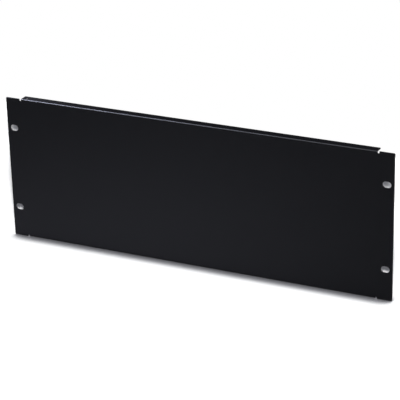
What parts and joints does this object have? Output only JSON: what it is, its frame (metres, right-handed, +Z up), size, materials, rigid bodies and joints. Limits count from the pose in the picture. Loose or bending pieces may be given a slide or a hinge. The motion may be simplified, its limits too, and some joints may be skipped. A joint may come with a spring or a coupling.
{
  "type": "rack blanking panel",
  "caption": "Flat black blanking panel for a 19 inch equipment rack, with slotted mounting ears and folded stiffening flanges.",
  "frame": {"origin": "back face of the mounting ears, which meets the rack rails, at the centre of the four fixing slots", "axes": "+X along the panel, +Y into the rack, away from the viewer of the front face, +Z up"},
  "size_m": [0.4826, 0.011, 0.177],
  "materials": {
    "powder_coat": "fine satin black powder coat on sheet steel"
  },
  "bodies": {
    "root": {"blanking_panel": "powder_coat"}
  },
  "joints": []
}
